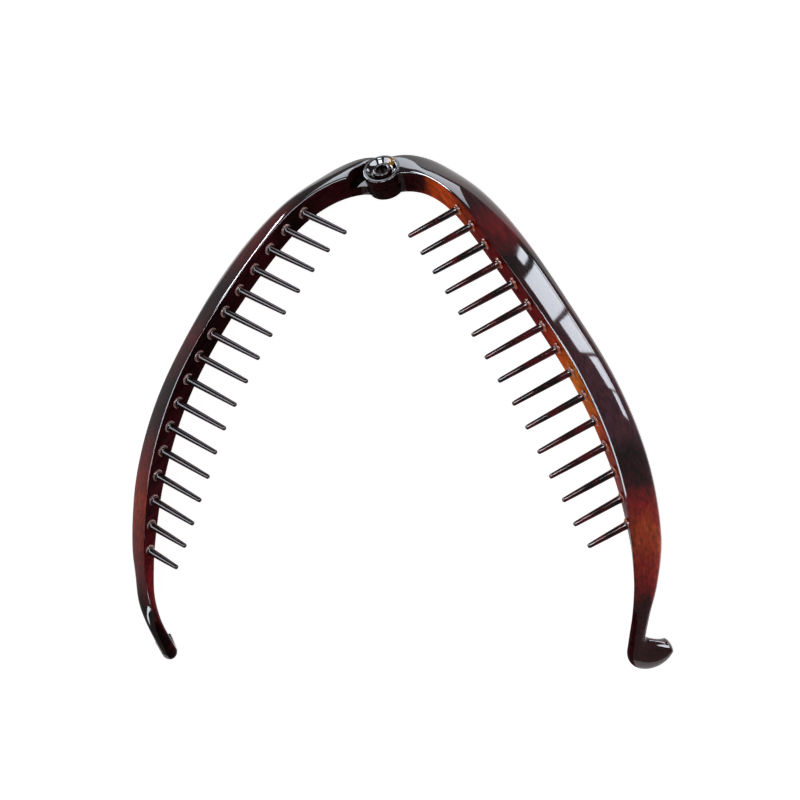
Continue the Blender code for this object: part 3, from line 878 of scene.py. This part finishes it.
def tortoiseshell(name, side, face, wall, shine, painted_glint_place):
    """The polished arm: two ramps along it, one of them painted light, clouded by noise, and a small painted golden
    glint at one place.
    """
    material, tree, shader = new_finish(name)
    place, normal = arm_coordinates(tree, side)
    colour = ramps_along(tree, side, place, normal, face, wall)
    colour = with_painted_glint(tree, place, colour, painted_glint_place)
    tree.links.new(with_streaks(tree, place, colour), shader.inputs["Base Color"])
    add_polish(tree, shader, place)
    shader.inputs["IOR"].default_value = PLASTIC_IOR
    shader.inputs["Specular IOR Level"].default_value = shine
    shader.inputs["Subsurface Weight"].default_value = 0.35
    shader.inputs["Subsurface Radius"].default_value = (1.0, 0.18, 0.06)
    shader.inputs["Subsurface Scale"].default_value = 0.0012
    return material


def tooth_finish(name, colour, patch_colour):
    """The small parts: glossy, with patches of a second colour."""
    material, tree, shader = new_finish(name)
    place = add_node(tree, "TexCoord").outputs["Object"]
    patches = map_range(tree, noise(tree, place, Scale=260.0, Detail=3.0), (0.4, 0.65))
    tree.links.new(mix_colours(tree, patches, colour, patch_colour), shader.inputs["Base Color"])
    shader.inputs["Roughness"].default_value = 0.06
    shader.inputs["IOR"].default_value = PLASTIC_IOR
    shader.inputs["Specular IOR Level"].default_value = TOOTH_SHINE
    return material


left_finishes = (
    tortoiseshell("tortoiseshell_left", LEFT, LEFT_FACE, LEFT_WALL_PAINTED_SHADE, FACE_SHINE, AWAY),
    tooth_finish("tooth_brown_left", BLACK_BROWN, MAROON),
    tortoiseshell("inner_wall_left", LEFT, LEFT_FACE, LEFT_WALL_PAINTED_SHADE, WALL_SHINE, AWAY),
    tooth_finish("boss_painted_highlight_left", *LEFT_BOSS_PAINTED_HIGHLIGHT),
)
right_finishes = (
    tortoiseshell("tortoiseshell_right", RIGHT, RIGHT_FACE, RIGHT_WALL_PAINTED_GLOW, FACE_SHINE, PAINTED_GLINT_PLACE),
    tooth_finish("tooth_brown_right", BLACK_BROWN, DEEP_RED),
    tortoiseshell("inner_wall_right", RIGHT, RIGHT_FACE, RIGHT_WALL_PAINTED_GLOW, WALL_SHINE, PAINTED_GLINT_PLACE),
    tooth_finish("boss_painted_highlight_right", *RIGHT_BOSS_PAINTED_HIGHLIGHT),
)
print("finishes:", [finish.name for finish in left_finishes + right_finishes])

# %% [markdown]
# An arm is moulded in one shot, so its body, knuckle and teeth become one closed solid here as well: two unions and
# two cuts. Overlapping shapes would look the same in a dull plastic, but light that travels inside a translucent one
# would catch on every hidden face.

# %% Join, cut and settle
SHARP_ANGLE = math.radians(35.0)


def place_object(name, mesh, matrix):
    """Put a mesh in the scene."""
    item = bpy.data.objects.new(name, mesh)
    bpy.context.scene.collection.objects.link(item)
    item.matrix_world = matrix
    return item


def join_and_cut(target, steps):
    """Apply unions and cuts in order, and remove their tools."""
    tools = []
    for mesh, operation in steps:
        tool = place_object("tool", mesh, target.matrix_world)
        modifier = target.modifiers.new("step", "BOOLEAN")
        modifier.operation = operation
        modifier.object = tool
        modifier.solver = "EXACT"
        tools.append(tool)
    bpy.context.view_layer.update()
    result = bpy.data.meshes.new_from_object(target.evaluated_get(bpy.context.evaluated_depsgraph_get()))
    target.modifiers.clear()
    target.data = result
    for tool in tools:
        bpy.data.objects.remove(tool, do_unlink=True)


def settle_at_origin(item):
    """Move an object's place into its mesh and smooth its faces, apart from its sharp edges."""
    item.data.transform(item.matrix_world)
    item.matrix_world = Matrix.Identity(4)
    item.data.shade_smooth()
    item.data.set_sharp_from_angle(angle=SHARP_ANGLE)


print("edges sharper than this stay sharp, degrees:", round(math.degrees(SHARP_ANGLE)))

# %% [markdown]
# The order matters: the knuckle joins first, so that the holes pass through it, and the comb joins last, so that no
# cut touches a tooth. After the last step the faces that look at the other arm get the inner wall's finish.

# %% Build both arms
FACES_INWARDS = 0.6
KNUCKLE_REACH = 5.2
UPRIGHT_FACE = 0.3


def finish_inner_wall(mesh, side):
    """Give the third finish to the faces that look at the other arm, and to the walls round the hinge."""
    inwards = Vector((-side, 0.0, 0.0))
    for face in mesh.polygons:
        round_hinge = face.center.xy.length < KNUCKLE_REACH * MM and abs(face.normal.z) < UPRIGHT_FACE
        if face.material_index == BODY_FINISH and (round_hinge or face.normal.dot(inwards) > FACES_INWARDS):
            face.material_index = WALL_FINISH


def build_arm(side, count, hook, half, name, finishes):
    """One arm with its comb, at its place in the clip."""
    places, frames, sizes = arm_stations(side)
    rings = []
    for place, directions, size in zip(places, frames, sizes):
        lean = FRONT_LEAN * eased(-place[1], LEAN_FROM, LEAN_TO)
        outline, _ = section_outline(*size, lean)
        rings.append([place + directions[1] * across + directions[2] * ahead for across, ahead in outline])
    rings += hook_rings(places[-1], frames[-1], sizes[-1][0], hook)
    body = loft(rings, name)
    for finish in finishes:
        body.materials.append(finish)
    arm = place_object(name, body, arm_place(side))
    knuckle, cuts = half
    if side == LEFT:
        cuts.append(bay_cut(body))
    steps = [(knuckle, "UNION")] + [(cut, "DIFFERENCE") for cut in cuts] + [(comb(side, count), "UNION")]
    join_and_cut(arm, steps)
    finish_inner_wall(arm.data, side)
    settle_at_origin(arm)
    return arm


left_arm = build_arm(LEFT, LEFT_TEETH, LEFT_HOOK, rear_half(), "left_arm_moulding", left_finishes)
right_arm = build_arm(RIGHT, RIGHT_TEETH, RIGHT_HOOK, front_half(), "right_arm_moulding", right_finishes)
for arm in (left_arm, right_arm):
    print(arm.name, "faces:", len(arm.data.polygons))

# %% [markdown]
# The pin is a plastic rivet: a hollow shank, a flat head behind and a lip that was rolled outwards in front. It is a
# turned profile with a round lip, because that ring is the brightest line of the hinge.

# %% The hollow pin
PIN_SHANK_RADIUS = 1.7
PIN_LIP_RADIUS = 2.4
PIN_LIP_FRONT = -0.1
PIN_LIP_BACK = -0.8
PIN_BORE_RADIUS = 1.5
PIN_BORE_DEPTH = 2.0
PIN_HEAD_RADIUS = 3.1
PIN_HEAD_FRONT = -6.0
PIN_HEAD_BACK = -6.7
PIN_RIM = 0.2
PIN_SIDES = 96
LIP_STEPS = 10


def pin_profile():
    """The pin's profile from the bore's floor, round the lip, down the shank and round the head."""
    profile = [(0.0, PIN_LIP_FRONT - PIN_BORE_DEPTH), (PIN_BORE_RADIUS, PIN_LIP_FRONT - PIN_BORE_DEPTH)]
    middle = (PIN_LIP_RADIUS + PIN_BORE_RADIUS) / 2
    half = (PIN_LIP_RADIUS - PIN_BORE_RADIUS) / 2
    for i in range(LIP_STEPS + 1):
        angle = math.pi * i / LIP_STEPS
        profile.append((middle - half * math.cos(angle), PIN_LIP_FRONT - half * (1 - math.sin(angle))))
    profile += [(PIN_LIP_RADIUS, PIN_LIP_BACK), (PIN_SHANK_RADIUS, PIN_LIP_BACK)]
    profile += [(PIN_SHANK_RADIUS, PIN_HEAD_FRONT), (PIN_HEAD_RADIUS, PIN_HEAD_FRONT)]
    profile += rounded_rim(PIN_HEAD_RADIUS, PIN_HEAD_BACK, PIN_RIM, -1) + [(0.0, PIN_HEAD_BACK)]
    return profile


pin = place_object("hollow_pin", turned(pin_profile(), PIN_SIDES, "hollow_pin"), clip_place)
settle_at_origin(pin)
pin.data.materials.append(tooth_finish("pin_brown", BLACK_BROWN, MAROON))
print("pin faces:", len(pin.data.polygons))

# %% [markdown]
# Each moulding rides on the body of the plain piece that it stands for, so the arms still swing on the joint.

# %% Tie the pieces to the moving bodies
for piece, node, body, slot in (
    (left_arm, "left_arm", "left_side", "tortoiseshell"),
    (right_arm, "right_arm", "right_side", "tortoiseshell"),
    (pin, "hinge_pin", "left_side", "pin_plastic"),
):
    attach(piece, body)
    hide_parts(node)
    print(piece.name, "rides on", body)

# %% [markdown]
# The clip lies on white paper beside a row of windows. The paper is a plain pale floor that glows a little, so that
# it stays white and lights the plastic from below. The polished rim shows the near paper as a grey line, which ends
# where the paper ends. A floor that fills the view would lengthen that line, so reflections see a smaller sheet just
# above the floor instead. The floor itself is left out of reflections, and it lets the low window light through.

# %% The floor
FLOOR_SIZE = 12.0
FLOOR_HEIGHT = -0.0004
SHEET_HEIGHT = -0.00002
SHEET_CORNERS = (
    (-0.092, -0.130),
    (0.077, -0.130),
    (0.077, 0.080),
    (0.062, 0.096),
    (0.000, 0.096),
    (-0.035, 0.064),
    (-0.064, 0.050),
)
PAPER_TONES = (0.58, 0.62)
PAPER_GLOW = 0.90


def floor_finish():
    """Matt white paper that glows a little."""
    material, tree, shader = new_finish("white_paper")
    place = add_node(tree, "TexCoord").outputs["Object"]
    tone = map_range(tree, noise(tree, place, Scale=900.0, Detail=2.0), (0.0, 1.0), PAPER_TONES)
    tree.links.new(tone, shader.inputs["Base Color"])
    shader.inputs["Roughness"].default_value = 0.95
    shader.inputs["Specular IOR Level"].default_value = 0.0
    shader.inputs["Emission Color"].default_value = (1.0, 1.0, 1.0, 1.0)
    shader.inputs["Emission Strength"].default_value = PAPER_GLOW
    return material


def flat_sheet(name, corners, height, finish):
    """A flat face at a height above the table."""
    mesh = bpy.data.meshes.new(name)
    mesh.from_pydata([(x, y, height) for x, y in corners], [], [range(len(corners))])
    mesh.materials.append(finish)
    return place_object(name, mesh, Matrix.Identity(4))


white_paper = floor_finish()
half = FLOOR_SIZE / 2
sheet = flat_sheet("sheet", SHEET_CORNERS, SHEET_HEIGHT, white_paper)
floor_corners = ((-half, -half), (half, -half), (half, half), (-half, half))
floor = flat_sheet("floor", floor_corners, FLOOR_HEIGHT, white_paper)
floor.visible_glossy = False
floor.visible_shadow = False
print("the sheet reaches", round(SHEET_CORNERS[1][0] / MM), "mm to the right")

# %% [markdown]
# Gloss on dark plastic is almost only reflections, about five percent of what stands opposite. So the windows have
# to stand where the face of the right arm looks. Each window is given by its two sides and its top, in degrees round
# from the far side and above the table, and a bar near its foot parts it in two. The lamps are given by the middle
# of their surface. Most of them are there only to draw a line of light on a crease, a rim or a tooth, and add no
# light of their own.

# %% Where the windows and lamps stand
Window = namedtuple("Window", "name azimuth_from azimuth_to top")
Panel = namedtuple("Panel", "name azimuth elevation width height brightness only_seen")
PANE_BRIGHTNESS = 13.0
PANE_FOOT = -6.6
SILL_TOP = -7.6
SILL_FOOT = -10.0
WINDOWS = (
    Window("window_1", 36.2, 46.5, 7.5),
    Window("window_2", 47.6, 55.4, 4.0),
    Window("window_3", 56.4, 64.0, 1.0),
    Window("window_4", 64.6, 70.5, -1.0),
)
PANELS = (
    Panel("small_window", 33.2, -2.0, 0.04, 0.15, 13.0, False),
    Panel("ceiling", 200.0, 72.0, 0.35, 0.35, 4.0, False),
    Panel("back_window", -5.0, 1.0, 0.54, 0.58, 6.0, True),
    Panel("teeth_lamp", -44.0, 12.0, 0.45, 0.55, 36.0, True),
    Panel("left_window", -85.0, 45.0, 0.50, 1.00, 14.0, True),
    Panel("right_lamp", 74.0, 50.0, 0.80, 0.80, 16.0, True),
    Panel("comb_lamp", -10.0, 80.0, 0.35, 0.35, 45.0, True),
    Panel("front_lamp", 235.0, 28.0, 0.18, 0.30, 14.0, True),
)
print("windows and lamps:", len(WINDOWS), "and", len(PANELS))

# %% [markdown]
# Each light is a flat area light, which shows in gloss as a sharp rectangle, as a pane does. An area light gives more
# energy when it is larger, so the energy is worked out from the brightness that its surface should have.

# %% The lights
WINDOW_WHITE = (0.86, 0.91, 1.0)
LIGHT_DISTANCE = 1.2
AIM_HEIGHT = 0.015


def add_panel(name, azimuth, elevation, width, height, brightness, only_seen):
    """A flat light that faces the middle of the clip. One that is only seen shows in gloss and lights nothing."""
    level = math.cos(math.radians(elevation))
    across = math.sin(math.radians(azimuth)) * level
    ahead = math.cos(math.radians(azimuth)) * level
    direction = Vector((across, ahead, math.sin(math.radians(elevation))))
    data = bpy.data.lights.new(name, "AREA")
    data.shape = "RECTANGLE"
    data.size = width
    data.size_y = height
    data.color = WINDOW_WHITE
    data.energy = brightness * math.pi * width * height
    light = bpy.data.objects.new(name, data)
    bpy.context.scene.collection.objects.link(light)
    facing = direction.to_track_quat("Z", "Y").to_matrix().to_4x4()
    light.matrix_world = Matrix.Translation(direction * LIGHT_DISTANCE + Vector((0.0, 0.0, AIM_HEIGHT))) @ facing
    light.visible_camera = False
    light.visible_diffuse = not only_seen
    return light


def add_pane(name, window, foot, top):
    """One pane of a window, between two heights in degrees."""
    middle = (window.azimuth_from + window.azimuth_to) / 2
    width = LIGHT_DISTANCE * math.radians(window.azimuth_to - window.azimuth_from)
    height = LIGHT_DISTANCE * math.radians(top - foot)
    return add_panel(name, middle, (foot + top) / 2, width, height, PANE_BRIGHTNESS, False)


lights = []
for window in WINDOWS:
    lights.append(add_pane(window.name, window, PANE_FOOT, window.top))
    lights.append(add_pane(window.name + "_foot", window, SILL_FOOT, SILL_TOP))
for panel in PANELS:
    lights.append(add_panel(*panel))
print("lights:", len(lights))

# %% [markdown]
# The room behind the windows is dim and slightly warm. A bright sky all round would lay grey over the deep colours.

# %% The room
ROOM_COLOUR = (1.0, 0.93, 0.96, 1.0)
ROOM_BRIGHTNESS = 0.22

room = bpy.data.worlds.new("room")
room.use_nodes = True
room.node_tree.nodes["Background"].inputs["Color"].default_value = ROOM_COLOUR
room.node_tree.nodes["Background"].inputs["Strength"].default_value = ROOM_BRIGHTNESS
bpy.context.scene.world = room
bpy.context.scene.view_settings.view_transform = "Standard"
print("room brightness:", ROOM_BRIGHTNESS)
